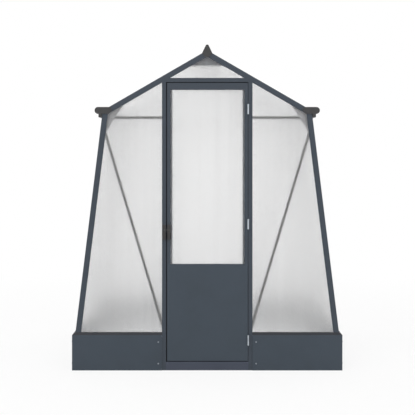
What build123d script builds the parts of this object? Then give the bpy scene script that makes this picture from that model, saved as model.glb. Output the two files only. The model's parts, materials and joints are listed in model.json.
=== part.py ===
from build123d import *
import math
import os

# A free-standing greenhouse with leaning sides, a pitched roof, a plinth and a hinged front door.
# +Z is up, the front faces -Y, and the origin is on the ground under the middle of the plinth.
# The right-hand front quarter is modelled and mirrored where the other quarters are alike.

# Overall sizes, in millimetres and degrees
base_width = 1930
base_depth = 1930
base_height = 252
sill_height = 20
side_setback = 24
gable_setback = 6
ridge_height = 2286
wall_lean = 7
roof_pitch = 30

# Twin-wall sheets and the slots that hold their edges
sheet_thickness = 6
slot_play = 0.4
slot_depth = 15
pane_bite = 12
sill_slot = 12

# Extruded bars
metal = 2
bar_depth = 29
post_face = 40
rafter_face = 39
stud_face = 44
stud_depth = 14
jamb_face = 29
header_face = 29
bays = 3
rear_stud_spacing = 720
sill_fall = 6

# Plinth of folded sheet
plate = 2
angle_leg = 40
angle_thickness = 3
cleat_reach = 52
cleat_joggle = 4
cleat_end_gap = 10
plinth_bolt_inset = 26
plinth_bolt_margin = 49
plinth_bolt_radius = 4
plinth_bolt_head = 5.5
plinth_bolt_head_height = 4
anchor_inset = 32
anchor_spacing = 1400
anchor_radius = 5.5

# Ridge
ridge_wing = 50
ridge_box_width = 24
ridge_box_drop = 60
ridge_box_roof = 25
cap_half_width = 37
cap_tip_rise = 56
cap_tip_radius = 12
cap_wall = 3.3
cap_thickness = 6
cap_apron_drop = 48
cap_apron_half_width = 14
crest_side_wall = 8
crest_tip_wall = 10
crest_wall_round = 2.5

# Gutter, which is also the eaves beam
gutter_reach = 95
gutter_height = 49
gutter_metal = 3
gutter_overhang = 16
drip_leg_width = 23
drip_leg_height = 24
drip_leg_play = 0.8
gutter_cap_nose = 30

# Door frame and door leaf
door_width = 578
lock_gap = 7
hinge_gap = 3
door_head_gap = 6
door_foot_gap = 5
threshold_height = 62
gable_top_height = 198
leaf_thickness = 26
stile_face = 24
stile_width = 38
rail_face = 50
bottom_rail_height = 50
lower_panel_top = 759
lower_panel_thickness = 2
lower_panel_inset = 1
stop_width = 12
stop_thickness = 3
stop_gap = 1

# Door hinges
hinge_low_rise = 148
hinge_top_drop = 188
hinge_middle_lift = 4
hinge_length = 70
knuckle_radius = 6.5
knuckle_gap = 0.3
hinge_plate = 1.2
hinge_plate_depth = 23
hinge_plate_setback = 0.5
hinge_face_gap = 0.4
pin_radius = 3
pin_play = 0.05
pin_head_radius = 5
pin_head_height = 1.5

# Door latch
latch_height = 986
latch_length = 106
latch_case_depth = 12
latch_case_width = 28
keeper_depth = 10
keeper_inset = 1
latch_round = 2
bolt_rise = 17
bolt_height = 8
bolt_depth = 4
bolt_length = 30
bolt_reach = 8
bolt_travel = 14
bolt_play = 0.2
bolt_seat = 4
bolt_window_lip = 1
lever_drop = 8
lever_length = 52
lever_width = 14
lever_thickness = 8
lever_hub_radius = 7
lever_hub_height = 8
lever_stub_radius = 4
lever_stub_play = 0.06
lever_stub_length = 8
lever_face_gap = 0.5

# Gussets, ties and braces
gusset_thickness = 2.5
gusset_roof_leg = 120
gusset_wall_leg = 132
gusset_play = 0.6
apex_gusset_drop = 109
flat_bar_width = 18
flat_bar_thickness = 3
tie_drop = 26
brace_top_drop = 96
brace_foot_drop = 18
flat_bar_end = 10
post_bolt_line = 17.5
rafter_bolt_line = 17
gusset_bolt_steps = (40, 95)
apex_bolt_steps = (80, 140)
apex_hook_drop = 88
tie_bolt_inset = 36
bolt_radius = 3
bolt_clearance = 0.1
bolt_head_radius = 5
bolt_head_height = 3.5
nut_radius = 4.5
nut_height = 3.5

# Roof vent
vent_gap = 1
vent_face = 27
vent_depth = 18
vent_overlap = 9
vent_start = 48
vent_end = 432
slam_bar_lap = 7
slam_bar_face = 30
hinge_bead_along = 40
hinge_bead_rise = 9
hinge_bead_radius = 4
hinge_bead_play = 0.08
hinge_channel_wall = 1.9
hinge_channel_web = 4
hinge_opening = (-28, 72)
hinge_mouth = 18
hinge_neck = 2.4
stay_along = 411
stay_drop = 12
stay_length = 285
stay_width = 12
stay_thickness = 3
stay_play = 0.06
stay_side_gap = 0.4
stay_holes = 4
stay_pin_radius = 3
stay_head_radius = 5
stay_head_height = 1.5
stay_bracket_drop = 18
peg_drop = 24
peg_radius = 3
peg_gap = 0.6
peg_length = 4.4
peg_plate = 3
peg_plate_reach = 20
peg_plate_height = 11

# Places worked out from the sizes above
half_width = base_width / 2
half_depth = base_depth / 2
gable_y = half_depth - gable_setback
sill_top = base_height + sill_height
slot_gap = sheet_thickness + slot_play
slot_back = metal + slot_gap
lip_back = slot_back + metal
jamb_depth = bar_depth + gusset_thickness
flat_bar_back = jamb_depth + flat_bar_thickness
jamb_x = (door_width + lock_gap + hinge_gap) / 2
leaf_shift = (lock_gap - hinge_gap) / 2
jamb_out = jamb_x + jamb_face
jamb_box = jamb_face - slot_depth
jamb_middle = jamb_x + jamb_box / 2
header_top = ridge_height - gable_top_height
header_bottom = header_top - header_face
leaf_top = header_bottom - door_head_gap
leaf_bottom = threshold_height + door_foot_gap
slot_end_y = gable_y - bar_depth - slot_depth
stud_spacing = 2 * gable_y / bays
stud_places = [-gable_y + stud_spacing * (i + 1) for i in range(bays - 1)]
rear_stud_x = rear_stud_spacing / 2
reach = base_width + base_depth + ridge_height

lean = math.radians(wall_lean)
pitch = math.radians(roof_pitch)
wall_up = Vector(-math.sin(lean), 0, math.cos(lean))
wall_in = Vector(-math.cos(lean), 0, -math.sin(lean))
roof_down = Vector(math.cos(pitch), 0, -math.sin(pitch))
roof_in = Vector(-math.sin(pitch), 0, -math.cos(pitch))
right, rear, up = Vector(1, 0, 0), Vector(0, 1, 0), Vector(0, 0, 1)
foot = Vector(half_width - side_setback, 0, sill_top)
apex = Vector(0, 0, ridge_height)
rail_in = foot.X - (post_face - slot_depth)


# Points and lines in the X-Z plane
def wall_point(along, depth):
    return foot + wall_up * along + wall_in * depth


def roof_point(along, depth):
    return apex + roof_down * along + roof_in * depth


def wall_line(depth):
    return wall_point(0, depth), wall_up


def roof_line(depth):
    return roof_point(0, depth), roof_down


def level(height):
    return up * height, right


def upright(x):
    return right * x, up


def meet(first, second):
    (p, d), (q, e) = first, second
    turn = d.X * e.Z - d.Z * e.X
    step = ((q.X - p.X) * e.Z - (q.Z - p.Z) * e.X) / turn
    return p + d * step


# The inner corner where post and rafter meet carries the gutter
eaves = meet(wall_line(post_face), roof_line(rafter_face))


# Flat shapes
def rectangle(left, far_right, low, high):
    return Pos((left + far_right) / 2, (low + high) / 2) * Rectangle(far_right - left, high - low)


def outline(points):
    """A flat shape from corner points, always taken anticlockwise."""
    turns = [p.X * q.Z - p.Z * q.X for p, q in zip(points, points[1:] + points[:1])]
    ordered = points if sum(turns) > 0 else points[::-1]
    return Polygon(*[(p.X, p.Z) for p in ordered], align=None)


def strip_between(start, end, width):
    way = (end - start).normalized()
    side = Vector(-way.Z, 0, way.X) * (width / 2)
    return outline([start + side, end + side, end - side, start - side])


# Solids from flat shapes
def along_width(face, start, end):
    return extrude(Plane.YZ.offset(start) * face, amount=end - start, dir=right)


def along_depth(face, start, end):
    plane = Plane(origin=(0, start, 0), x_dir=right, z_dir=-rear)
    return extrude(plane * face, amount=end - start, dir=rear)


def along_height(face, start, end):
    return extrude(Plane.XY.offset(start) * face, amount=end - start, dir=up)


def in_front(face, near, far):
    """A solid behind the front gable's face, from one depth to another."""
    return along_depth(face, near - gable_y, far - gable_y)


def rod(point, start, end, radius):
    """A round rod along Y, between two depths behind the front gable's face."""
    return in_front(Pos(point.X, point.Z) * Circle(radius), start, end)


def long_bar(section, point, across, inward):
    """A bar that passes through a point, before its ends are cut."""
    plane = Plane(origin=point, x_dir=across, z_dir=across.cross(inward))
    return extrude(plane * section, amount=reach, both=True)


def cut_off(solid, point, outward):
    return split(solid, bisect_by=Plane(origin=point, z_dir=outward), keep=Keep.BOTTOM)


def left_and_right(solid):
    return [solid, mirror(solid, about=Plane.YZ)]


def front_and_rear(solid):
    return [solid, mirror(solid, about=Plane.XZ)]


def four_corners(solid):
    return [copy for half in left_and_right(solid) for copy in front_and_rear(half)]


def write(name, *shapes):
    solids = [solid for shape in shapes for solid in shape.solids()]
    export_step(Compound(solids) if len(solids) > 1 else solids[0], f"parts/{name}.step")


# Sections of the bars: X is across the face, Y is inward from the face
def slot_strips(start, end):
    return rectangle(start, end, 0, metal) + rectangle(start, end, slot_back, lip_back)


def box_section(start, end, depth):
    hollow = rectangle(start + metal, end - metal, metal, depth - metal)
    return rectangle(start, end, 0, depth) - hollow


def edge_section(face, depth):
    box = face - slot_depth
    return box_section(0, box, depth) + slot_strips(box, face)


def tee_section(face, depth):
    box = face / 2 - slot_depth
    strips = slot_strips(-face / 2, -box) + slot_strips(box, face / 2)
    return box_section(-box, box, depth) + strips


def corner_section(face):
    side_face = bar_depth + slot_depth
    outer = rectangle(0, metal, bar_depth, side_face)
    inner = rectangle(slot_back, lip_back, bar_depth, side_face)
    return edge_section(face, bar_depth) + outer + inner


# Plinth
def plinth_section(face, inner):
    web = rectangle(face - plate, face, 0, base_height)
    bottom = rectangle(inner, face, 0, plate)
    top = rectangle(inner, face, base_height - plate, base_height)
    return web, bottom + top


def plinth_bolt_heights():
    return plinth_bolt_margin, base_height - plinth_bolt_margin


def plinth_bolt(point, outward, grip):
    """A bolt through a plinth panel and what is behind it, with its nut."""
    seat = Plane(origin=point, z_dir=outward)
    head = extrude(seat * Circle(plinth_bolt_head), amount=plinth_bolt_head_height)
    rim = head.edges().sort_by(lambda edge: seat.to_local_coords(edge.center()).Z)[-1]
    head = fillet(rim, plinth_bolt_head_height / 2)
    shank_length = grip + nut_height + bolt_head_height
    shank = extrude(seat * Circle(plinth_bolt_radius), amount=-shank_length)
    nut = extrude(seat.offset(-grip) * RegularPolygon(plinth_bolt_head, 6), amount=-nut_height)
    return head + shank + nut


def plinth_hole(point, outward, grip):
    plane = Plane(origin=point, z_dir=outward)
    return extrude(plane * Circle(plinth_bolt_radius + bolt_clearance), amount=grip, both=True)


angle_bolt_y = -half_depth + plate + angle_thickness + angle_leg / 2
front_bolts = [Vector(jamb_out + plinth_bolt_inset, -half_depth, z) for z in plinth_bolt_heights()]
side_bolts = [Vector(half_width, angle_bolt_y, z) for z in plinth_bolt_heights()]
bolt_grip = plate + angle_thickness
front_holes = [plinth_hole(p, -rear, 2 * bolt_grip) for p in front_bolts]
side_holes = [plinth_hole(p, right, 2 * bolt_grip) for p in side_bolts]


def plinth_side():
    web, flanges = plinth_section(half_width, rail_in)
    inside = half_depth - plate
    panel = along_depth(web + flanges, -inside, inside)
    for hole in side_holes:
        for cut in front_and_rear(hole):
            panel -= cut
    anchor = Pos(half_width - anchor_inset, -anchor_spacing / 2) * Circle(anchor_radius)
    for hole in front_and_rear(along_height(anchor, -plate, 2 * plate)):
        panel -= hole
    return panel


def plinth_end(start):
    """A front or rear panel on the front side; its flanges stop at the side panels' flanges."""
    web, flanges = plinth_section(half_depth, gable_y - bar_depth)
    panel = along_width(web, start, half_width) + along_width(flanges, start, rail_in)
    return mirror(panel, about=Plane.XZ)


def corner_angle():
    out_x, out_y = half_width - plate, -half_depth + plate
    leg_one = rectangle(out_x - angle_leg, out_x, out_y, out_y + angle_thickness)
    leg_two = rectangle(out_x - angle_thickness, out_x, out_y, out_y + angle_leg)
    angle = along_height(leg_one + leg_two, plate, base_height - plate)
    for hole in side_holes:
        angle -= hole
    return angle


def door_cleat():
    """A folded cleat from the jamb's side, round its lip, to the back of the front panel."""
    web_back = -half_depth + plate
    lip_y = -gable_y + lip_back
    jamb_side = jamb_out - slot_depth
    turn_x = jamb_out + cleat_joggle
    thick = angle_thickness
    on_jamb = rectangle(jamb_side, jamb_side + thick, lip_y, -gable_y + bar_depth)
    on_lip = rectangle(jamb_side, turn_x + thick, lip_y, lip_y + thick)
    forward = rectangle(turn_x, turn_x + thick, web_back, lip_y + thick)
    on_panel = rectangle(turn_x, jamb_out + cleat_reach, web_back, web_back + thick)
    cleat = along_height(on_jamb + on_lip + forward + on_panel, cleat_end_gap, base_height - cleat_end_gap)
    for hole in front_holes:
        cleat -= hole
    return cleat


def front_panel():
    panel = plinth_end(jamb_out)
    for hole in front_holes:
        panel -= hole
    return panel


def threshold():
    outer = rectangle(-gable_y, -gable_y + bar_depth, 0, threshold_height)
    hollow = rectangle(-gable_y + metal, -gable_y + bar_depth - metal, metal, threshold_height - metal)
    return along_width(outer - hollow, -jamb_x, jamb_x)


# Sill rails with a weathered front face and a slot for the panes
def side_sill_rail():
    corners = [Vector(half_width, 0, base_height), Vector(rail_in, 0, base_height)]
    corners += [Vector(rail_in, 0, sill_top), foot]
    slot = outline([wall_point(a, d) for a, d in (
        (-sill_slot, metal), (sill_slot, metal), (sill_slot, slot_back), (-sill_slot, slot_back))])
    hollow = rectangle(rail_in + metal, foot.X - lip_back - metal, base_height - metal, sill_top - metal)
    cut_end = slot_end_y + slot_depth
    rail = along_depth(outline(corners), -half_depth, half_depth)
    rail -= along_depth(slot + hollow, -cut_end, cut_end)
    for end in (-1, 1):
        slope = Vector(0, end * sill_height, gable_setback)
        rail = cut_off(rail, (0, end * half_depth, base_height), slope)
    return rail


def gable_sill_rail(start, end, fall):
    """A rail under a gable's panes, whose top falls towards the room behind the lip of its slot."""
    back = -gable_y + bar_depth
    corners = [(-half_depth, base_height), (back, base_height), (back, sill_top - fall)]
    corners += [(-gable_y + lip_back, sill_top), (-gable_y, sill_top)]
    section = Polygon(*corners, align=None)
    slot = rectangle(-gable_y + metal, -gable_y + slot_back, sill_top - sill_slot, sill_top + sill_slot)
    hollow_top = sill_top - fall - metal
    hollow = rectangle(-gable_y + lip_back + metal, back - metal, base_height - metal, hollow_top)
    return along_width(section - slot - hollow, start, end)


# Bolts that hold gussets, ties and braces to the backs of the bars
tie_height = eaves.Z - tie_drop
post_bolts = [meet(wall_line(post_bolt_line), level(eaves.Z - drop)) for drop in (tie_drop, brace_top_drop)]
rafter_bolts = [roof_point(meet(roof_line(0), upright(eaves.X)).X / math.cos(pitch) - step, rafter_bolt_line)
                for step in gusset_bolt_steps]
apex_bolts = [roof_point(step, rafter_bolt_line) for step in apex_bolt_steps]
hook_bolt = Vector(0, 0, ridge_height - apex_hook_drop)
tie_bolt = Vector(eaves.X - tie_bolt_inset, 0, tie_height)
jamb_bolts = [Vector(jamb_middle, 0, height) for height in (tie_height, sill_top - brace_foot_drop)]
rear_stud_bolts = [Vector(rear_stud_x, 0, height) for height in (tie_height, sill_top + brace_foot_drop)]


def frame_bolt(point, seat, wall_front):
    """A bolt whose head sits at one depth and whose nut sits against the front of the wall it grips."""
    place = Pos(point.X, point.Z)
    head = in_front(place * RegularPolygon(bolt_head_radius, 6), seat, seat + bolt_head_height)
    nut = in_front(place * RegularPolygon(nut_radius, 6), wall_front - nut_height, wall_front)
    return head + nut + rod(point, wall_front - nut_height - metal, seat, bolt_radius)


def drilled(solid, points):
    for point in points:
        solid -= rod(point, bar_depth - 2 * metal, flat_bar_back + metal, bolt_radius + bolt_clearance)
    return solid


def gusset_bolts():
    """The gusset bolts of the right half of one gable."""
    bar_wall = bar_depth - metal
    bolts = [frame_bolt(p, flat_bar_back, bar_wall) for p in post_bolts]
    bolts += [frame_bolt(p, jamb_depth, bar_wall) for p in rafter_bolts + apex_bolts]
    return bolts + [frame_bolt(tie_bolt, flat_bar_back, bar_depth)]


def upright_bolts(points):
    """The bolts of ties and braces in a jamb or a rear stud."""
    return [frame_bolt(p, flat_bar_back, jamb_depth - metal) for p in points]


# Bars of the walls and the roof
def corner_post():
    post = long_bar(corner_section(post_face), foot - rear * gable_y, wall_in, rear)
    post = cut_off(cut_off(post, up * sill_top, -up), up * eaves.Z, up)
    return drilled(post, post_bolts)


def side_stud(place):
    stud = long_bar(tee_section(stud_face, stud_depth), foot + rear * place, rear, wall_in)
    return cut_off(cut_off(stud, up * sill_top, -up), up * eaves.Z, up)


def under_rafters(solid):
    """Cuts a bar's top where the underside of the gable rafters passes."""
    under = roof_point(0, rafter_face)
    half_cut = mirror(cut_off(solid, under, -roof_in), about=Plane.YZ)
    return mirror(cut_off(half_cut, under, -roof_in), about=Plane.YZ)


def door_jamb():
    jamb = long_bar(edge_section(jamb_face, jamb_depth), right * jamb_x - rear * gable_y, right, rear)
    return drilled(under_rafters(cut_off(jamb, Vector(0, 0, 0), -up)), jamb_bolts)


def rear_stud():
    stud = long_bar(tee_section(stud_face, jamb_depth), right * rear_stud_x - rear * gable_y, right, rear)
    return drilled(under_rafters(cut_off(stud, up * sill_top, -up)), rear_stud_bolts)


def door_header():
    header = long_bar(edge_section(header_face, bar_depth), up * header_bottom - rear * gable_y, up, rear)
    header = cut_off(cut_off(header, right * jamb_x, right), -right * jamb_x, -right)
    return under_rafters(header)


def door_stops():
    near = leaf_thickness + stop_gap
    inner = jamb_x - stop_width
    side_face = rectangle(inner, jamb_x, threshold_height, header_bottom)
    top_face = rectangle(-inner, inner, header_bottom - stop_width, header_bottom)
    side, top = (in_front(face, near, near + stop_thickness) for face in (side_face, top_face))
    return [*left_and_right(side), top]


def gable_rafter():
    rafter = long_bar(corner_section(rafter_face), apex - rear * gable_y, roof_in, rear)
    rafter = cut_off(cut_off(rafter, Vector(0, 0, 0), -right), eaves, right)
    return drilled(rafter, rafter_bolts + apex_bolts)


def roof_bar(place):
    bar = long_bar(tee_section(stud_face, stud_depth), apex + rear * place, rear, roof_in)
    return cut_off(cut_off(bar, roof_point(ridge_wing, 0), -roof_down), eaves, right)


# Ridge beam with its hollow crest and, beside the vent, a channel for the vent's hinge bead
bead_centre = roof_point(hinge_bead_along, -hinge_bead_rise)


def crest_outline(half, tip_rise, lift, rounding):
    low = ridge_height + lift
    points = [Vector(0, 0, ridge_height + tip_rise), Vector(half, 0, low - half * math.tan(pitch))]
    points += [Vector(0, 0, low), Vector(-half, 0, low - half * math.tan(pitch))]
    shape = outline(points)
    return fillet(shape.vertices().sort_by(Axis.Y)[-1], rounding)


def hinge_channel():
    inside = hinge_bead_radius + hinge_bead_play
    outside = inside + hinge_channel_wall
    place = Pos(bead_centre.X, bead_centre.Z)
    ring = place * (Circle(outside) - Circle(inside))
    first, last = (math.radians(angle) for angle in hinge_opening)
    mouth = [bead_centre]
    for angle in (first, (first + last) / 2, last):
        mouth.append(bead_centre + (roof_down * math.cos(angle) - roof_in * math.sin(angle)) * hinge_mouth)
    half = hinge_channel_web / 2
    top = hinge_bead_rise - inside - hinge_channel_wall / 2
    web = outline([roof_point(hinge_bead_along + side * half, -rise)
                   for side, rise in ((-1, 0), (1, 0), (1, top), (-1, top))])
    return (ring - outline(mouth)) + web


def ridge_beam():
    wing = outline([apex, roof_point(ridge_wing, 0), roof_point(ridge_wing, lip_back),
                    meet(roof_line(lip_back), upright(0))])
    slot = outline([roof_point(a, d) for a, d in (
        (ridge_wing - slot_depth, metal), (ridge_wing + slot_depth, metal),
        (ridge_wing + slot_depth, slot_back), (ridge_wing - slot_depth, slot_back))])
    hollow = outline([roof_point(a, d) for a, d in (
        (ridge_box_width, metal), (ridge_wing - slot_depth - metal, metal),
        (ridge_wing - slot_depth - metal, slot_back), (ridge_box_width, slot_back))])
    flank = wing - slot - hollow
    half = ridge_box_width / 2
    low = ridge_height - ridge_box_drop
    box = rectangle(-half, half, low, ridge_height - lip_back)
    inside = rectangle(metal - half, half - metal, low + metal, ridge_height - ridge_box_roof)
    section = flank + mirror(flank, about=Plane.YZ) + (box - inside)
    angle = math.atan2(cap_half_width, cap_tip_rise + cap_half_width * math.tan(pitch))
    crest_half = cap_half_width - cap_wall
    crest_tip = cap_tip_rise - cap_wall / math.sin(angle)
    crest = crest_outline(crest_half, crest_tip, 0, cap_tip_radius - cap_wall)
    crest -= crest_outline(crest_half - crest_side_wall, crest_tip - crest_tip_wall, metal, crest_wall_round)
    beam = along_depth(section, -slot_end_y, slot_end_y) + along_depth(crest, -gable_y, gable_y)
    return beam + at_vent(hinge_channel(), -vent_half, vent_half)


def ridge_end_cap():
    face = crest_outline(cap_half_width, cap_tip_rise, 0, cap_tip_radius)
    shoulder = ridge_height - cap_half_width * math.tan(pitch)
    low = ridge_height - cap_apron_drop
    apron = [Vector(-cap_half_width, 0, shoulder), Vector(cap_half_width, 0, shoulder)]
    apron += [Vector(cap_apron_half_width, 0, low), Vector(-cap_apron_half_width, 0, low)]
    fill = outline([apex, apron[1], apron[0]])
    return in_front(face + fill + outline(apron), -cap_thickness, 0)


# Gutter and its end caps
gutter_radius = gutter_height / 2
round_x = eaves.X + gutter_reach - gutter_radius
drip_x = meet(wall_line(0), level(eaves.Z - drip_leg_height)).X + drip_leg_play


def gutter():
    inner = outline([eaves, eaves + right * gutter_metal,
                     meet(upright(eaves.X + gutter_metal), roof_line(slot_back)),
                     meet(upright(eaves.X), roof_line(slot_back))])
    floor = rectangle(eaves.X, round_x, eaves.Z, eaves.Z + gutter_metal)
    ring = Circle(gutter_radius) - Circle(gutter_radius - gutter_metal)
    ring = (Pos(round_x, eaves.Z + gutter_radius) * ring) & rectangle(
        round_x, round_x + gutter_radius, eaves.Z, eaves.Z + gutter_height)
    leg = rectangle(drip_x, drip_x + drip_leg_width, eaves.Z - drip_leg_height, eaves.Z)
    leg -= rectangle(drip_x + metal, drip_x + drip_leg_width - metal,
                     eaves.Z - drip_leg_height + metal, eaves.Z - metal)
    return along_depth(inner + floor + ring + leg, -gable_y, gable_y)


def gutter_end_cap():
    top = eaves.Z + gutter_height
    end = Pos(round_x, eaves.Z + gutter_radius) * Circle(gutter_radius)
    nose = Vector(eaves.X - gutter_cap_nose, 0, eaves.Z + gutter_radius)
    body = outline([Vector(round_x, 0, eaves.Z), Vector(round_x, 0, top),
                    Vector(nose.X + gutter_radius / 2, 0, top), nose,
                    Vector(nose.X + gutter_radius, 0, eaves.Z)])
    leg = rectangle(drip_x, drip_x + drip_leg_width, eaves.Z - drip_leg_height, eaves.Z)
    return in_front(end + body + leg, -cap_thickness, 0)


# Gussets, ties and braces on the backs of the gable bars
def eaves_gusset():
    keep_off = lip_back + gusset_play
    along = meet(roof_line(rafter_face), upright(eaves.X))
    inner_top = along - roof_down * gusset_roof_leg
    inner_low = eaves - wall_up * gusset_wall_leg
    roof_end = meet((inner_top, roof_in), roof_line(keep_off))
    wall_end = meet((inner_low, wall_in), wall_line(keep_off))
    notch_x, notch_z = eaves.X - gusset_play, eaves.Z - gusset_play
    points = [inner_low, wall_end, meet(wall_line(keep_off), level(notch_z)), Vector(notch_x, 0, notch_z)]
    points += [meet(upright(notch_x), roof_line(keep_off)), roof_end, inner_top]
    plate_solid = in_front(outline(points), bar_depth, jamb_depth)
    return drilled(plate_solid, post_bolts + rafter_bolts + [tie_bolt])


def apex_gusset():
    low = level(ridge_height - apex_gusset_drop)
    line = roof_line(lip_back + gusset_play)
    corner = meet(low, line)
    points = [corner, meet(line, upright(0)), Vector(-corner.X, 0, corner.Z)]
    mirrored = [Vector(-p.X, 0, p.Z) for p in apex_bolts]
    return drilled(in_front(outline(points), bar_depth, jamb_depth), apex_bolts + mirrored + [hook_bolt])


def flat_bar(start, end, points):
    way = (end - start).normalized() * flat_bar_end
    face = strip_between(start - way, end + way, flat_bar_width)
    bar = drilled(in_front(face, jamb_depth, flat_bar_back), points)
    return cut_off(bar, wall_point(0, lip_back + gusset_play), -wall_in)


def front_tie():
    return flat_bar(jamb_bolts[0], post_bolts[0], [jamb_bolts[0], tie_bolt, post_bolts[0]])


def rear_tie():
    """A tie across the whole gable, from post to post."""
    half = flat_bar(up * tie_height, post_bolts[0], [rear_stud_bolts[0], tie_bolt, post_bolts[0]])
    return half + mirror(half, about=Plane.YZ)


def brace(start):
    return flat_bar(start, post_bolts[1], [start, post_bolts[1]])


# Panes
pane_near, pane_far = slot_back - sheet_thickness, slot_back


def corner_chamfer():
    """The line that takes a gable pane's corner clear of the gutter."""
    way = roof_down - wall_up
    return eaves - (roof_down + wall_up) * gusset_play, way


def gable_pane(inner_x):
    side, bottom = upright(inner_x - pane_bite), level(sill_top - sill_slot)
    post, rafter = wall_line(post_face - pane_bite), roof_line(rafter_face - pane_bite)
    corner = corner_chamfer()
    edges = [side, bottom, post, corner, rafter]
    points = [meet(edge, following) for edge, following in zip(edges, edges[1:] + edges[:1])]
    return in_front(outline(points), pane_near, pane_far)


def top_pane():
    rafter = roof_line(rafter_face - pane_bite)
    low = Vector(jamb_x, 0, header_top - pane_bite)
    points = [low, meet(rafter, upright(jamb_x)), meet(rafter, upright(0))]
    points += [Vector(-p.X, 0, p.Z) for p in reversed(points[:2])]
    return in_front(outline(points), pane_near, pane_far)


def rear_middle_pane():
    side = rear_stud_x - stud_face / 2 + pane_bite
    rafter = roof_line(rafter_face - pane_bite)
    points = [Vector(side, 0, sill_top - sill_slot), meet(rafter, upright(side)), meet(rafter, upright(0))]
    points += [Vector(-p.X, 0, p.Z) for p in reversed(points[:2])]
    return in_front(outline(points), pane_near, pane_far)


def bay_limits():
    """Where the panes of each bay start and end along the depth."""
    edges = [-slot_end_y - pane_bite]
    for place in stud_places:
        edges += [place - stud_face / 2 + pane_bite, place + stud_face / 2 - pane_bite]
    edges.append(slot_end_y + pane_bite)
    return list(zip(edges[0::2], edges[1::2]))


def slab(point_at, start, end):
    corners = ((start, pane_near), (end, pane_near), (end, pane_far), (start, pane_far))
    return outline([point_at(along, depth) for along, depth in corners])


def side_panes():
    top = (eaves.Z - gusset_play - sill_top) / math.cos(lean)
    face = slab(wall_point, -sill_slot, top)
    return [along_depth(face, low, high) for low, high in bay_limits()]


roof_end = (eaves.X + gutter_metal + gutter_overhang) / math.cos(pitch)
slam_bar_start = vent_end - slam_bar_lap


def roof_panes(vented):
    """One slope's panes; in a vented slope the middle pane starts below the vent."""
    start = ridge_wing - pane_bite
    low_start = slam_bar_start + slam_bar_face - pane_bite
    panes = []
    for place, (near, far) in enumerate(bay_limits()):
        short = vented and place == vent_bay
        panes.append(along_depth(slab(roof_point, low_start if short else start, roof_end), near, far))
    return panes


# Door leaf, drawn about its own middle and then set nearer to the hinges than to the latch
leaf_x = door_width / 2


def in_doorway(solid):
    return Pos(leaf_shift, 0, 0) * solid


def door_stile():
    face = rectangle(0, stile_face, 0, metal)
    web = rectangle(0, stile_face - slot_depth, metal, slot_back)
    corners = ((0, slot_back), (stile_face, slot_back), (stile_width, leaf_thickness), (0, leaf_thickness))
    body = Polygon(*corners, align=None)
    section = face + web + (body - offset(body, -metal))
    stile = long_bar(section, right * leaf_x - rear * gable_y, -right, rear)
    return cut_off(cut_off(stile, up * leaf_bottom, -up), up * leaf_top, up)


def door_rail(edge, inward, height, slotted):
    """A rail whose outer edge is at one height and whose ends meet the sloping flanks of the stiles."""
    web_height = height - slot_depth if slotted else height
    low, high = sorted((edge, edge + inward * height))
    web_low, web_high = sorted((edge, edge + inward * web_height))
    half = leaf_x - stile_face
    face = in_front(rectangle(-half, half, low, high), 0, metal)
    web = in_front(rectangle(-half, half, web_low, web_high), metal, slot_back)
    body = in_front(rectangle(-half, half, low, high), slot_back, leaf_thickness)
    body -= in_front(rectangle(-half, half, low + metal, high - metal), lip_back, leaf_thickness - metal)
    for side in (1, -1):
        corner = Vector(side * half, slot_back - gable_y, 0)
        flank = Vector(side * (leaf_thickness - slot_back), stile_width - stile_face, 0)
        body = cut_off(body, corner, flank)
    return face + web + body


def door_pane():
    half = leaf_x - stile_face + pane_bite
    low, high = lower_panel_top - pane_bite, leaf_top - rail_face + pane_bite
    return in_front(rectangle(-half, half, low, high), pane_near, pane_far)


def lower_panel():
    half = leaf_x - lower_panel_inset
    face = rectangle(-half, half, leaf_bottom + lower_panel_inset, lower_panel_top)
    return in_front(face, -lower_panel_thickness, 0)


# Door hinges: the barrels stand in front of the gap between the leaf and the jamb
hinge_x = jamb_x - hinge_gap / 2
hinge_depth = -(lower_panel_thickness + hinge_face_gap + knuckle_radius)


def hinge_leaf(plate_start, spans, height):
    """A hinge plate in the door's gap with the barrels that belong to it."""
    centre = Pos(hinge_x, hinge_depth - gable_y)
    plate_end = plate_start + hinge_plate
    plate_near = hinge_plate_setback - gable_y
    flat = rectangle(plate_start, plate_end, plate_near, plate_near + hinge_plate_depth)
    leaf = along_height(flat, height - hinge_length / 2, height + hinge_length / 2)
    strap = rectangle(plate_start, plate_end, hinge_depth - gable_y, plate_near)
    for low, high in spans:
        leaf += along_height(strap + centre * Circle(knuckle_radius), height + low, height + high)
    bore = along_height(centre * Circle(pin_radius + pin_play), height - hinge_length, height + hinge_length)
    return leaf - bore


def hinge_pin(height):
    centre = Pos(hinge_x, hinge_depth - gable_y)
    half = hinge_length / 2
    pin = along_height(centre * Circle(pin_radius), height - half, height + half)
    for low in (height + half, height - half - pin_head_height):
        pin += along_height(centre * Circle(pin_head_radius), low, low + pin_head_height)
    return pin


barrel_end = hinge_length / 2
barrel_cut = hinge_length / 6
jamb_spans = [(-barrel_end, -barrel_cut), (barrel_cut, barrel_end)]
door_spans = [(knuckle_gap - barrel_cut, barrel_cut - knuckle_gap)]
low_hinge, top_hinge = leaf_bottom + hinge_low_rise, leaf_top - hinge_top_drop
hinge_heights = (low_hinge, (low_hinge + top_hinge) / 2 + hinge_middle_lift, top_hinge)
door_plate_start = leaf_x + leaf_shift
jamb_plate_start = jamb_x - hinge_plate

# Door latch on the left-hand stile
latch_low, latch_high = latch_height - latch_length / 2, latch_height + latch_length / 2
bolt_z = latch_height + bolt_rise
case_left = leaf_shift - leaf_x + lower_panel_inset
lever_pivot = Vector(case_left + latch_case_width / 2, 0, latch_height - lever_drop)
bolt_front, bolt_back = -bolt_seat - bolt_depth, -bolt_seat
bolt_tip = case_left - bolt_reach
bolt_end = bolt_tip + bolt_length
bolt_room = bolt_height / 2 + bolt_play
keeper_left, keeper_right = -jamb_out + keeper_inset, -jamb_x - keeper_inset


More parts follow.
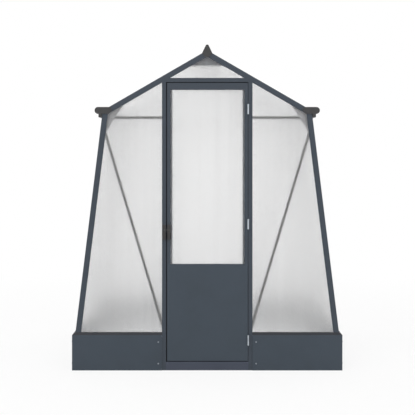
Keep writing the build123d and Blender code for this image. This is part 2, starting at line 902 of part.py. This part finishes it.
def rounded_front(solid, sharp_height=None):
    """Rounds the edges of a plate's outer face, apart from one at a height that stays sharp."""
    edges = solid.faces().sort_by(Axis.Y)[0].edges()
    if sharp_height is not None:
        edges = [edge for edge in edges if abs(edge.center().Z - sharp_height) > latch_round]
    return fillet(edges, latch_round)


def latch_case():
    face = rectangle(case_left, case_left + latch_case_width, latch_low, latch_high)
    case = rounded_front(in_front(face, -latch_case_depth, 0))
    start, end = case_left - latch_round, bolt_end + latch_round
    tunnel = rectangle(start, end, bolt_z - bolt_room, bolt_z + bolt_room)
    case -= in_front(tunnel, bolt_front - bolt_play, bolt_back + bolt_play)
    window_half = bolt_height / 2 - bolt_window_lip
    window = rectangle(start, bolt_end, bolt_z - window_half, bolt_z + window_half)
    case -= in_front(window, -2 * latch_case_depth, bolt_front)
    stub_end = lever_stub_length - latch_case_depth + lever_stub_play
    return case - rod(lever_pivot, -2 * latch_case_depth, stub_end, lever_stub_radius + lever_stub_play)


def latch_keeper():
    """Two blocks with room for the bolt between them."""
    blocks = []
    for low, high, inner in ((latch_low, bolt_z - bolt_room, bolt_z - bolt_room),
                             (bolt_z + bolt_room, latch_high, bolt_z + bolt_room)):
        block = in_front(rectangle(keeper_left, keeper_right, low, high), -keeper_depth, 0)
        blocks.append(rounded_front(block, inner))
    return blocks


def latch_strike():
    """The plate between the keeper's blocks that holds the bolt in."""
    face = rectangle(bolt_tip - bolt_travel, keeper_right, bolt_z - bolt_room, bolt_z + bolt_room)
    return in_front(face, -keeper_depth, bolt_front - bolt_play)


def latch_bolt():
    half = bolt_height / 2
    return in_front(rectangle(bolt_tip, bolt_end, bolt_z - half, bolt_z + half), bolt_front, bolt_back)


def latch_lever():
    hub_front = -latch_case_depth - lever_face_gap - lever_hub_height
    middle = lever_pivot.Z + lever_width / 2 - lever_length / 2
    grip = Pos(lever_pivot.X, middle) * Rot(0, 0, 90) * SlotOverall(lever_length, lever_width)
    lever = rounded_front(in_front(grip, hub_front - lever_thickness, hub_front))
    lever += rod(lever_pivot, hub_front, -latch_case_depth - lever_face_gap, lever_hub_radius)
    stub_end = lever_stub_length - latch_case_depth
    return lever + rod(lever_pivot, hub_front, stub_end, lever_stub_radius)


# Roof vent in the middle bay of the right-hand slope
bar_places = [-gable_y, *stud_places, gable_y]
vent_bay = bays // 2
vent_middle = (bar_places[vent_bay] + bar_places[vent_bay + 1]) / 2
vent_half = stud_spacing / 2 + vent_overlap
vent_top = -vent_gap - vent_depth
vent_rail_half = vent_half - vent_face


def across_vent(solid, half):
    """Cuts a bar to a half length each way from the middle of the vent."""
    return cut_off(cut_off(solid, rear * (vent_middle + half), rear), rear * (vent_middle - half), -rear)


def at_vent(face, start, end):
    """A solid along the depth, measured from the middle of the vent."""
    return along_depth(face, vent_middle + start, vent_middle + end)


def vent_side(side):
    origin = roof_point(0, vent_top) + rear * (vent_middle + side * vent_half)
    rail = long_bar(edge_section(vent_face, vent_depth), origin, rear * -side, roof_in)
    return cut_off(cut_off(rail, roof_point(vent_start, 0), -roof_down), roof_point(vent_end, 0), roof_down)


def vent_cross_rail(along, way):
    origin = roof_point(along, vent_top)
    rail = long_bar(edge_section(vent_face, vent_depth), origin, roof_down * way, roof_in)
    return across_vent(rail, vent_rail_half)


def vent_top_rail():
    bead = Pos(bead_centre.X, bead_centre.Z) * Circle(hinge_bead_radius)
    neck_end = roof_point(vent_start, -hinge_bead_rise)
    neck = strip_between(bead_centre, neck_end, hinge_neck)
    return vent_cross_rail(vent_start, 1) + at_vent(bead + neck, -vent_rail_half, vent_rail_half)


def vent_pane():
    start, end = vent_start + vent_face - pane_bite, vent_end - vent_face + pane_bite
    half = vent_rail_half + pane_bite
    near, far = vent_top + pane_near, vent_top + pane_far
    corners = ((start, near), (end, near), (end, far), (start, far))
    return at_vent(outline([roof_point(along, depth) for along, depth in corners]), -half, half)


def slam_bar():
    end = stud_spacing / 2 - stud_face / 2
    bar = long_bar(edge_section(slam_bar_face, bar_depth), roof_point(slam_bar_start, 0), roof_down, roof_in)
    return across_vent(bar, end)


# Stay arm: it hangs square to the line from the hinge, so it always passes the peg on the cross bar
stay_pivot = roof_point(stay_along, stay_drop)
stay_arm_from = (stay_pivot - bead_centre).normalized()
stay_way = Vector(stay_arm_from.Z, 0, -stay_arm_from.X)


def round_bar(point, start, end, radius):
    return at_vent(Pos(point.X, point.Z) * Circle(radius), start, end)


def vent_stay():
    end = stay_pivot + stay_way * (stay_length - stay_width)
    face = strip_between(stay_pivot, end, stay_width)
    for point in (stay_pivot, end):
        face += Pos(point.X, point.Z) * Circle(stay_width / 2)
    face -= Pos(stay_pivot.X, stay_pivot.Z) * Circle(stay_pin_radius + stay_play)
    for i in range(1, stay_holes + 1):
        place = stay_pivot + stay_way * ((stay_length - stay_width) * i / stay_holes)
        face -= Pos(place.X, place.Z) * Circle(peg_radius + stay_play)
    return at_vent(face, 0, stay_thickness)


def stay_bracket():
    half = stay_width / 2
    corners = ((-half, -vent_gap), (half, -vent_gap), (half, stay_bracket_drop), (-half, stay_bracket_drop))
    face = outline([roof_point(stay_along + along, depth) for along, depth in corners])
    bracket = at_vent(face, -stay_side_gap - stay_thickness, -stay_side_gap)
    head_start = stay_thickness + stay_side_gap
    bracket += round_bar(stay_pivot, -stay_side_gap, head_start, stay_pin_radius)
    return bracket + round_bar(stay_pivot, head_start, head_start + stay_head_height, stay_head_radius)


def stay_peg():
    peg_start = stay_thickness + peg_gap
    plate_start = peg_start + peg_length
    peg_point = roof_point(stay_along, peg_drop)
    middle = peg_plate_height / 2
    corners = ((slam_bar_start - peg_plate_reach, peg_drop - middle), (slam_bar_start, peg_drop - middle),
               (slam_bar_start, peg_drop + middle), (slam_bar_start - peg_plate_reach, peg_drop + middle))
    face = outline([roof_point(along, depth) for along, depth in corners])
    plate_solid = at_vent(face, plate_start, plate_start + peg_plate)
    return plate_solid + round_bar(peg_point, peg_start, plate_start, peg_radius)


os.makedirs("parts", exist_ok=True)

# Plinth
panel_right, panel_left = left_and_right(front_panel())
write("base_front_right", panel_right)
write("base_front_left", panel_left)
panel_right, panel_left = left_and_right(plinth_side())
write("base_right", panel_right)
write("base_left", panel_left)
half_rear = mirror(plinth_end(0), about=Plane.XZ)
write("base_rear", half_rear + mirror(half_rear, about=Plane.YZ))
write("base_brackets", *four_corners(corner_angle()), *left_and_right(door_cleat()))
bolts = [bolt for p in front_bolts for bolt in left_and_right(plinth_bolt(p, -rear, bolt_grip))]
bolts += [bolt for p in side_bolts for bolt in four_corners(plinth_bolt(p, right, bolt_grip))]
write("base_bolts", *bolts)
write("door_threshold", threshold())

# Sills, posts and studs
rear_rail = mirror(gable_sill_rail(-rail_in, rail_in, 0), about=Plane.XZ)
write("sill_rails_gable", *left_and_right(gable_sill_rail(jamb_out, rail_in, sill_fall)), rear_rail)
write("sill_rails_side", *left_and_right(side_sill_rail()))
corners = ("front_right", "rear_right", "front_left", "rear_left")
for corner, post in zip(corners, four_corners(corner_post())):
    write(f"corner_post_{corner}", post)
write("side_studs", *[stud for place in stud_places for stud in left_and_right(side_stud(place))])
write("rear_studs", *left_and_right(mirror(rear_stud(), about=Plane.XZ)))

# Door frame
jamb_right, jamb_left = left_and_right(door_jamb())
write("door_jamb_right", jamb_right)
write("door_jamb_left", jamb_left)
write("door_header", door_header())
write("door_stops", *door_stops())

# Roof
for corner, rafter in zip(corners, four_corners(gable_rafter())):
    write(f"gable_rafter_{corner}", rafter)
write("roof_bars", *[bar for place in stud_places for bar in left_and_right(roof_bar(place))])
write("ridge_beam", ridge_beam())
write("ridge_end_caps", *front_and_rear(ridge_end_cap()))
gutter_right, gutter_left = left_and_right(gutter())
write("gutter_right", gutter_right)
write("gutter_left", gutter_left)
write("gutter_end_caps", *four_corners(gutter_end_cap()))

# Gussets, ties, braces and their bolts
write("eaves_gussets", *four_corners(eaves_gusset()))
write("apex_gussets", *front_and_rear(apex_gusset()))
write("tie_bars", *left_and_right(front_tie()), mirror(rear_tie(), about=Plane.XZ))
rear_brace = mirror(brace(rear_stud_bolts[1]), about=Plane.XZ)
write("braces", *left_and_right(brace(jamb_bolts[1])), *left_and_right(rear_brace))
fasteners = [copy for bolt in gusset_bolts() for copy in four_corners(bolt)]
fasteners += [copy for bolt in upright_bolts(jamb_bolts) for copy in left_and_right(bolt)]
for bolt in upright_bolts(rear_stud_bolts):
    fasteners += left_and_right(mirror(bolt, about=Plane.XZ))
fasteners += front_and_rear(frame_bolt(hook_bolt, jamb_depth, bar_depth))
write("frame_bolts", *fasteners)

# Panes
pane_right, pane_left = left_and_right(gable_pane(jamb_out))
write("pane_front_right", pane_right)
write("pane_front_left", pane_left)
write("pane_front_top", top_pane())
rear_side = mirror(gable_pane(rear_stud_x + stud_face / 2), about=Plane.XZ)
write("panes_rear", *left_and_right(rear_side), mirror(rear_middle_pane(), about=Plane.XZ))
write("panes_side", *[copy for pane in side_panes() for copy in left_and_right(pane)])
write("panes_roof", *roof_panes(True), *[mirror(pane, about=Plane.YZ) for pane in roof_panes(False)])

# Door
stile_right, stile_left = left_and_right(door_stile())
write("door_stile_hinge", in_doorway(stile_right))
write("door_stile_lock", in_doorway(stile_left))
write("door_rail_top", in_doorway(door_rail(leaf_top, -1, rail_face, True)))
write("door_rail_middle", in_doorway(door_rail(lower_panel_top - rail_face, 1, rail_face, True)))
write("door_rail_bottom", in_doorway(door_rail(leaf_bottom, 1, bottom_rail_height, False)))
write("door_pane", in_doorway(door_pane()))
write("door_lower_panel", in_doorway(lower_panel()))
write("hinge_jamb_leaves", *[hinge_leaf(jamb_plate_start, jamb_spans, height) for height in hinge_heights])
write("hinge_door_leaves", *[hinge_leaf(door_plate_start, door_spans, height) for height in hinge_heights])
write("hinge_pins", *[hinge_pin(height) for height in hinge_heights])
write("latch_case", latch_case())
write("latch_keeper", *latch_keeper())
write("latch_strike", latch_strike())
write("latch_bolt", latch_bolt())
write("latch_lever", latch_lever())

# Roof vent
vent_rails = [vent_top_rail(), vent_cross_rail(vent_end, -1), vent_side(1), vent_side(-1)]
write("vent_frame", *vent_rails, stay_bracket())
write("vent_pane", vent_pane())
write("vent_stay", vent_stay())
write("vent_cross_bar", slam_bar(), stay_peg())
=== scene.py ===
import json
import math

import bmesh
import bpy
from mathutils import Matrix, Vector


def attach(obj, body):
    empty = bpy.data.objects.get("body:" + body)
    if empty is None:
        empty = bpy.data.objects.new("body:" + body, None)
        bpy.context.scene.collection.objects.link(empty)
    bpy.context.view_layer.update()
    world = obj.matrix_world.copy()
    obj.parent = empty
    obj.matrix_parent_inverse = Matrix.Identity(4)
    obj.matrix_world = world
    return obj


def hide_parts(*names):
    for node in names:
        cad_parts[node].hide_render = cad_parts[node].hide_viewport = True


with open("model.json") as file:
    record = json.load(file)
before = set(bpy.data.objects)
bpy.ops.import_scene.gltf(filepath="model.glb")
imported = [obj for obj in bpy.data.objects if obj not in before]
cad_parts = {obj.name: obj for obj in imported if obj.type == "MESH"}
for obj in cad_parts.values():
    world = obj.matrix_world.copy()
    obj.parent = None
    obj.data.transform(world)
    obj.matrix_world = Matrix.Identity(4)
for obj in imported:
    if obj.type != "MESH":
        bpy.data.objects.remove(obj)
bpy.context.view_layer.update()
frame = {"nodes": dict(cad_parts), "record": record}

nodes = frame["nodes"]
bodies = frame["record"]["behaviour"]["bodies"]
node_body = {node: body for body, members in bodies.items() for node in members}

# View of the photograph, in metres, and the camera's sensor in millimetres
front_plane = -0.965
camera_distance = 8.4
camera_height = 1.524
view_centre = (0.0021, 1.163)
view_width = 2.9616
sensor = 36.0

# Twin-wall sheet, in metres
flute_pitch = 0.005
flute_crown = 0.0003
flute_steps = 8
edge_margin = 0.0002
sheet_corner = math.radians(30)
weld_distance = 0.00002
corner_digits = 6
sort_digits = 4
tiny = 1e-9

# Share of each flute that is hazy, and the haze
rib_share = 0.75
rib_share_at_top = 1.0
wall_roughness = 0.25
rib_roughness = 0.55
slant_roughness = 0.8
sheet_colour = (0.99, 0.99, 0.99)
streak_share = 0.945
streak_stretch = (1, 1, 0.02)
streak_scale = 22.0
sheet_passes = 0.985
sheet_ior = 1.45

# Paint: scales of its noises per metre, heights in metres
drift_scale = 5.0
gloss_scale = 11.0
peel_scale = 420.0
speckle_scale = 1500.0
peel_height = 0.00006
panel_peel_height = 0.00005
speckle_share = 0.4
paint_drift = 0.07
paint_gloss_drift = 0.05
paint_ior = 1.47
threshold_drift = 0.05
threshold_roughness = 0.8
# Where the painted shade on the threshold's top begins, by how far a face points up
painted_shade_slope = (0.5, 0.6)

# Bare metal
line_scale = 60.0
patch_scale = 14.0
line_height = 0.00006
metal_shades = (0.85, 1.12)
metal_gloss_drift = 0.08
drawn_along_z = (1, 1, 0.05)
drawn_evenly = (1, 1, 1)

# Moulded plastic
plastic_grain_scale = 900.0
plastic_cloud_scale = 30.0
plastic_grain_height = 0.00012
plastic_drift = 0.08
plastic_gloss_drift = 0.06
plastic_ior = 1.5

# Noise: its fall-off, and the values that a shade spreads over, for one noise and for the sum of two
noise_roughness = 0.55
one_noise = (0.3, 0.7)
two_noises = (0.75, 1.0)

# Floor, in metres: white to the camera, a little less near the object, so that its shadow stays
floor_radius = 40
floor_sides = 96
floor_drop = 0.0005
floor_shades = (0.84, 0.86)
floor_cloud_scale = 0.7
floor_white = (0.86, 1.0)
floor_white_reach = (1.5, 6.0)

# Light: strength of the dome, and each softbox with its place, size in metres and power in watts
dome_strength = 0.6
white_strength = 1.0
light_target = (0, 0, 1.0)
softboxes = {
    "key_light": ((-4.5, -8.0, 6.5), 5.0, 330),
    "fill_light": ((5.5, -7.0, 4.0), 5.0, 140),
    "top_light": ((0, 3.0, 8.0), 6.0, 220),
}


# Node helpers
class Graph:
    """Adds shader nodes to a material and joins them."""

    def __init__(self, tree):
        self.tree = tree
        self.tree.nodes.clear()

    def add(self, kind, inputs=None, **settings):
        node = self.tree.nodes.new(kind)
        for name, value in settings.items():
            setattr(node, name, value)
        for name, value in (inputs or {}).items():
            self.feed(node.inputs[name], value)
        return node

    def feed(self, socket, value):
        if isinstance(value, bpy.types.NodeSocket):
            self.tree.links.new(value, socket)
        else:
            socket.default_value = value

    def maths(self, operation, first, second):
        return self.add("ShaderNodeMath", {0: first, 1: second}, operation=operation).outputs[0]

    def places(self, stretch=(1, 1, 1)):
        """Object coordinates in metres, stretched per axis."""
        coordinate = self.add("ShaderNodeTexCoord").outputs["Object"]
        return self.add("ShaderNodeMapping", {"Vector": coordinate, "Scale": stretch}).outputs["Vector"]

    def noise(self, vector, scale, detail=3.0):
        inputs = {"Vector": vector, "Scale": scale, "Detail": detail, "Roughness": noise_roughness}
        return self.add("ShaderNodeTexNoise", inputs).outputs["Fac"]

    def spread(self, value, low, high, reach=one_noise):
        """Spreads a value from one range to another."""
        node = self.add("ShaderNodeMapRange", {"Value": value, "From Min": reach[0], "From Max": reach[1],
                                               "To Min": low, "To Max": high})
        return node.outputs["Result"]

    def around(self, value, middle, drift):
        return self.spread(value, middle - drift, middle + drift)

    def shades(self, value, dark, light, reach=one_noise):
        ramp = self.add("ShaderNodeValToRGB", {"Fac": value})
        for element, place, colour in zip(ramp.color_ramp.elements, reach, (dark, light)):
            element.position = place
            element.color = (*colour, 1)
        return ramp.outputs["Color"]

    def bump(self, height, distance, normal=None):
        inputs = {"Height": height, "Distance": distance, "Strength": 1.0}
        if normal is not None:
            inputs["Normal"] = normal
        return self.add("ShaderNodeBump", inputs).outputs["Normal"]

    def surface(self, inputs):
        shader = self.add("ShaderNodeBsdfPrincipled", inputs)
        self.add("ShaderNodeOutputMaterial", {"Surface": shader.outputs["BSDF"]})


def material(name):
    made = bpy.data.materials.new(name)
    made.use_nodes = True
    return made, Graph(made.node_tree)


def tint(colour, share):
    return tuple(channel * share for channel in colour)


# Materials
def powder_coat(name, colour, roughness, peel=peel_height):
    """Powder paint on metal: fine orange peel, a faint drift in shade and in gloss."""
    made, graph = material(name)
    place = graph.places()
    speckle = graph.noise(place, speckle_scale, detail=1.0)
    blend = graph.maths("ADD", graph.noise(place, drift_scale), speckle)
    normal = graph.bump(graph.noise(place, peel_scale, detail=2.0), peel)
    normal = graph.bump(speckle, peel * speckle_share, normal)
    dark, light = tint(colour, 1 - paint_drift), tint(colour, 1 + paint_drift)
    graph.surface({
        "Base Color": graph.shades(blend, dark, light, two_noises),
        "Roughness": graph.around(graph.noise(place, gloss_scale), roughness, paint_gloss_drift),
        "Normal": normal, "IOR": paint_ior})
    return made


def shaded_top_coat(name, colour, painted_top_shade):
    """Matt paint with no specular reflection on the faces of a bar, and painted shade: the face that points
    up is painted near-black to stand in for the shade on it.
    """
    made, graph = material(name)
    place = graph.places()
    grain = graph.noise(place, peel_scale, detail=2.0)
    # Painted shade: faces that point up turn near-black, standing in for the shade on the top
    facing = graph.add("ShaderNodeTexCoord").outputs["Normal"]
    up = graph.add("ShaderNodeSeparateXYZ", {"Vector": facing}).outputs["Z"]
    shade = graph.shades(up, colour, painted_top_shade, painted_shade_slope)
    drift = graph.around(graph.noise(place, drift_scale), 1, threshold_drift)
    painted = graph.add("ShaderNodeVectorMath", {0: shade, "Scale": drift}, operation="SCALE")
    graph.surface({
        "Base Color": painted.outputs[0],
        "Roughness": graph.around(grain, threshold_roughness, paint_gloss_drift),
        "Normal": graph.bump(grain, peel_height), "Specular IOR Level": 0.0})
    return made


def bare_metal(name, colour, roughness, stretch=drawn_evenly):
    """Mill-finish metal with drawing lines along one axis."""
    made, graph = material(name)
    lines = graph.noise(graph.places(stretch), line_scale, detail=4.0)
    blend = graph.maths("ADD", lines, graph.noise(graph.places(), patch_scale))
    dark, light = (tint(colour, share) for share in metal_shades)
    graph.surface({
        "Base Color": graph.shades(blend, dark, light, two_noises),
        "Roughness": graph.around(lines, roughness, metal_gloss_drift),
        "Normal": graph.bump(lines, line_height), "Metallic": 1.0})
    return made


def moulded_plastic(name, colour, roughness):
    """Moulded plastic with a fine spark-eroded grain."""
    made, graph = material(name)
    place = graph.places()
    grain = graph.noise(place, plastic_grain_scale, detail=2.0)
    cloud = graph.noise(place, plastic_cloud_scale)
    dark, light = tint(colour, 1 - plastic_drift), tint(colour, 1 + plastic_drift)
    graph.surface({
        "Base Color": graph.shades(cloud, dark, light),
        "Roughness": graph.around(grain, roughness, plastic_gloss_drift),
        "Normal": graph.bump(grain, plastic_grain_height), "IOR": plastic_ior})
    return made


def opal_sheet(name, roughness):
    """Frosted twin-wall sheet: light passes and scatters, with faint extrusion streaks along the flutes."""
    made, graph = material(name)
    streaks = graph.noise(graph.places(streak_stretch), streak_scale, detail=2.0)
    graph.surface({
        "Base Color": graph.shades(streaks, tint(sheet_colour, streak_share), sheet_colour),
        "Roughness": roughness, "Transmission Weight": sheet_passes, "IOR": sheet_ior})
    return made


coat = powder_coat("bar_coat", (0.029, 0.0395, 0.0545), 0.46)
# Threshold: the first colour is its paint, lighter than the bars to make up for its lack of reflection; the
# second is painted shade on its top
threshold_shaded_coat = shaded_top_coat("threshold_shaded_coat", (0.078, 0.088, 0.114), (0.008, 0.009, 0.01))
panel_coat = powder_coat("panel_coat", (0.031, 0.044, 0.060), 0.52, panel_peel_height)
# Near-black copy of the bar paint, for the sill rails and the door stops; on the sill rails it is painted
# shade for the shadow line under the glazing
sill_coat = powder_coat("sill_coat", (0.009, 0.011, 0.016), 0.55)
inner_coat = powder_coat("inner_coat", (0.018, 0.019, 0.02), 0.5)
# Gusset paints: lighter grey copies of the bar paint, the eaves ones lightest, raised to stand in for light
# that reaches the gussets through the sheets (painted light)
eaves_lit_coat = powder_coat("eaves_lit_coat", (0.33, 0.332, 0.34), 0.5)
apex_lit_coat = powder_coat("apex_lit_coat", (0.10, 0.108, 0.126), 0.5)
hinge_steel = bare_metal("hinge_steel", (0.42, 0.46, 0.50), 0.34, drawn_along_z)
bolt_steel = bare_metal("bolt_steel", (0.85, 0.86, 0.87), 0.3)
plinth_steel = bare_metal("plinth_steel", (0.24, 0.26, 0.29), 0.42)
dark_steel = bare_metal("dark_steel", (0.09, 0.09, 0.09), 0.42)
cap_plastic = moulded_plastic("cap_plastic", (0.028, 0.028, 0.029), 0.55)
latch_plastic = moulded_plastic("latch_plastic", (0.023, 0.022, 0.022), 0.45)
sheet_wall = opal_sheet("sheet_wall", wall_roughness)
sheet_rib = opal_sheet("sheet_rib", rib_roughness)
slant_sheet = opal_sheet("slant_sheet", slant_roughness)


# Metal and plastic pieces keep their solids and get finishes
def is_pane(node):
    return node.startswith(("pane", "door_pane", "vent_pane"))


def finish_of(node):
    if is_pane(node):
        return sheet_wall
    if node.startswith("hinge_"):
        return hinge_steel
    if node == "frame_bolts":
        return bolt_steel
    if node == "base_bolts":
        return plinth_steel
    if node in ("latch_bolt", "latch_strike"):
        return dark_steel
    if node in ("gutter_end_caps", "ridge_end_caps"):
        return cap_plastic
    if node.startswith("latch_"):
        return latch_plastic
    if node == "eaves_gussets":
        return eaves_lit_coat
    if node == "apex_gussets":
        return apex_lit_coat
    if node in ("tie_bars", "braces", "vent_stay", "base_brackets"):
        return inner_coat
    if node == "door_threshold":
        return threshold_shaded_coat
    if node.startswith("base_") or node == "door_lower_panel":
        return panel_coat
    if node.startswith("sill_") or node == "door_stops":
        return sill_coat
    return coat


def dress(obj, made):
    obj.data.materials.clear()
    obj.data.materials.append(made)


for name, obj in nodes.items():
    dress(obj, finish_of(name))


# Twin-wall sheets
def solids_of(obj):
    """The corner points and the largest face's normal of each separate solid in a node."""
    mesh = bmesh.new()
    mesh.from_mesh(obj.data)
    bmesh.ops.remove_doubles(mesh, verts=mesh.verts[:], dist=weld_distance)
    mesh.verts.index_update()
    mesh.faces.index_update()
    left = set(mesh.verts)
    found = []
    while left:
        stack = [left.pop()]
        group = set(stack)
        while stack:
            for edge in stack.pop().link_edges:
                for other in edge.verts:
                    if other in left:
                        left.discard(other)
                        group.add(other)
                        stack.append(other)
        faces = in_order({face for vert in group for face in vert.link_faces})
        widest = max(faces, key=lambda face: face.calc_area())
        found.append(([vert.co.copy() for vert in in_order(group)], widest.normal.copy()))
    mesh.free()
    return sorted(found, key=middle_of)


def in_order(elements):
    """Corners or faces in the order of their mesh, so that each run gives the same sheets."""
    return sorted(elements, key=lambda element: element.index)


def middle_of(solid):
    points = solid[0]
    return tuple(round(x, sort_digits) for x in sum(points, Vector()) / len(points))


def hull(points):
    """Corners of the convex outline of flat points, anticlockwise."""
    points = sorted({(round(u, corner_digits), round(v, corner_digits)) for u, v in points})

    def half(ordered):
        chain = []
        for p in ordered:
            while len(chain) > 1:
                (a, b), (c, d) = chain[-2:]
                if (c - a) * (p[1] - b) - (d - b) * (p[0] - a) > tiny:
                    break
                chain.pop()
            chain.append(p)
        return chain[:-1]

    return half(points) + half(points[::-1])


def limits(corners, u):
    """Where the line at one place across the sheet enters and leaves the outline."""
    crossings = []
    for (a, b), (c, d) in zip(corners, corners[1:] + corners[:1]):
        if abs(c - a) > tiny and min(a, c) - tiny <= u <= max(a, c) + tiny:
            crossings.append(b + (d - b) * (u - a) / (c - a))
    return min(crossings), max(crossings)


def off_crown(step):
    """How far a place across the sheet lies from the crown of its flute: 0 at the crown, 1 at the ribs."""
    return abs(2 * (step % flute_steps) / flute_steps - 1)


def flute_line(start, end):
    """Places across a sheet, each with how far its surface lies below the crowns of the flutes."""
    count = round((end - start) / flute_pitch)
    pitch = (end - start) / count
    steps = range(count * flute_steps + 1)
    return [(start + i * pitch / flute_steps, flute_crown * off_crown(i) ** 2) for i in steps]


def sheet_finishes(node):
    """Clear walls between hazy ribs on the gables and the door, haze all over on the sides and the roof."""
    if node in ("panes_side", "panes_roof", "vent_pane"):
        return slant_sheet, slant_sheet
    return sheet_wall, sheet_rib


def fluted_sheet(name, solids, finishes, hazy_share):
    """Closed slabs with crowned flutes on both faces, hazy at the ribs, one in the place of each solid."""
    verts, faces, at_rib = [], [], []
    for points, normal in solids:
        along = (Vector((0, 0, 1)) - normal * normal.z).normalized()
        across = along.cross(normal)
        corners = hull([(p.dot(across), p.dot(along)) for p in points])
        depths = [p.dot(normal) for p in points]
        low, high = min(depths), max(depths)
        start, end = min(u for u, v in corners), max(u for u, v in corners)
        columns = []
        for u, sunk in flute_line(start + edge_margin, end - edge_margin):
            foot, top = limits(corners, u)
            columns.append(len(verts))
            for v, w in ((foot, low + sunk), (top, low + sunk), (top, high - sunk), (foot, high - sunk)):
                verts.append(across * u + along * v + normal * w)
        first, last = columns[0], columns[-1]
        faces += [[first + 3, first + 2, first + 1, first], [last, last + 1, last + 2, last + 3]]
        at_rib += [0, 0]
        for i, (a, b) in enumerate(zip(columns, columns[1:])):
            for side in range(4):
                after = (side + 1) % 4
                faces.append([a + side, a + after, b + after, b + side])
                at_rib.append(int(off_crown(i + 0.5) > 1 - hazy_share))
    mesh = bpy.data.meshes.new(name)
    mesh.from_pydata(verts, [], faces)
    for made in finishes:
        mesh.materials.append(made)
    mesh.polygons.foreach_set("material_index", at_rib)
    mesh.shade_smooth()
    mesh.set_sharp_from_angle(angle=sheet_corner)
    return mesh


for node in sorted(nodes):
    if is_pane(node):
        hazy_share = rib_share_at_top if node == "pane_front_top" else rib_share
        mesh = fluted_sheet(f"{node}_sheet", solids_of(nodes[node]), sheet_finishes(node), hazy_share)
        piece = bpy.data.objects.new(f"{node}_sheet", mesh)
        bpy.context.scene.collection.objects.link(piece)
        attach(piece, node_body[node])
        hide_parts(node)


# Floor, white for the camera with the shadow kept
def seen_directly(graph):
    """One for rays from the camera, and for rays that a mirror or a sheet passes on."""
    path = graph.add("ShaderNodeLightPath").outputs
    seen_or_mirrored = graph.maths("MAXIMUM", path["Is Camera Ray"], path["Is Glossy Ray"])
    return graph.maths("MAXIMUM", seen_or_mirrored, path["Is Transmission Ray"])


def floor_material():
    made, graph = material("floor")
    cloud = graph.noise(graph.places(), floor_cloud_scale)
    dark, light = ((level, level, level) for level in floor_shades)
    paint = graph.add("ShaderNodeBsdfDiffuse", {"Color": graph.shades(cloud, dark, light)})
    glow = graph.add("ShaderNodeEmission", {"Color": (1, 1, 1, 1), "Strength": white_strength})
    away = graph.add("ShaderNodeVectorMath", {0: graph.places()}, operation="LENGTH").outputs["Value"]
    share = graph.maths("MULTIPLY", seen_directly(graph), graph.spread(away, *floor_white, floor_white_reach))
    mixed = graph.add("ShaderNodeMixShader", {0: share, 1: paint.outputs[0], 2: glow.outputs[0]})
    graph.add("ShaderNodeOutputMaterial", {"Surface": mixed.outputs[0]})
    return made


floor_mesh = bmesh.new()
bmesh.ops.create_circle(floor_mesh, cap_ends=True, segments=floor_sides, radius=floor_radius)
floor_data = bpy.data.meshes.new("floor")
floor_mesh.to_mesh(floor_data)
floor_mesh.free()
floor = bpy.data.objects.new("floor", floor_data)
floor.location.z = -floor_drop
bpy.context.scene.collection.objects.link(floor)
dress(floor, floor_material())

# Light
world = bpy.data.worlds.new("studio")
bpy.context.scene.world = world
world.use_nodes = True
sky = Graph(world.node_tree)
dome = sky.add("ShaderNodeBackground", {"Color": (1, 1, 1, 1), "Strength": dome_strength})
white = sky.add("ShaderNodeBackground", {"Color": (1, 1, 1, 1), "Strength": white_strength})
mixed = sky.add("ShaderNodeMixShader", {0: seen_directly(sky), 1: dome.outputs[0], 2: white.outputs[0]})
sky.add("ShaderNodeOutputWorld", {"Surface": mixed.outputs[0]})

for name, (place, size, watts) in softboxes.items():
    lamp = bpy.data.lights.new(name, "AREA")
    lamp.shape = "SQUARE"
    lamp.size = size
    lamp.energy = watts
    softbox = bpy.data.objects.new(name, lamp)
    softbox.location = place
    softbox.rotation_euler = (Vector(light_target) - Vector(place)).to_track_quat("-Z", "Y").to_euler()
    bpy.context.scene.collection.objects.link(softbox)

# Camera
lens = bpy.data.cameras.new("camera")
lens.sensor_width = sensor
lens.lens = sensor * camera_distance / view_width
lens.shift_y = (view_centre[1] - camera_height) / view_width
camera = bpy.data.objects.new("camera", lens)
camera.location = (view_centre[0], front_plane - camera_distance, camera_height)
camera.rotation_euler = (math.pi / 2, 0, 0)
bpy.context.scene.collection.objects.link(camera)
bpy.context.scene.camera = camera
bpy.context.scene.view_settings.view_transform = "Standard"
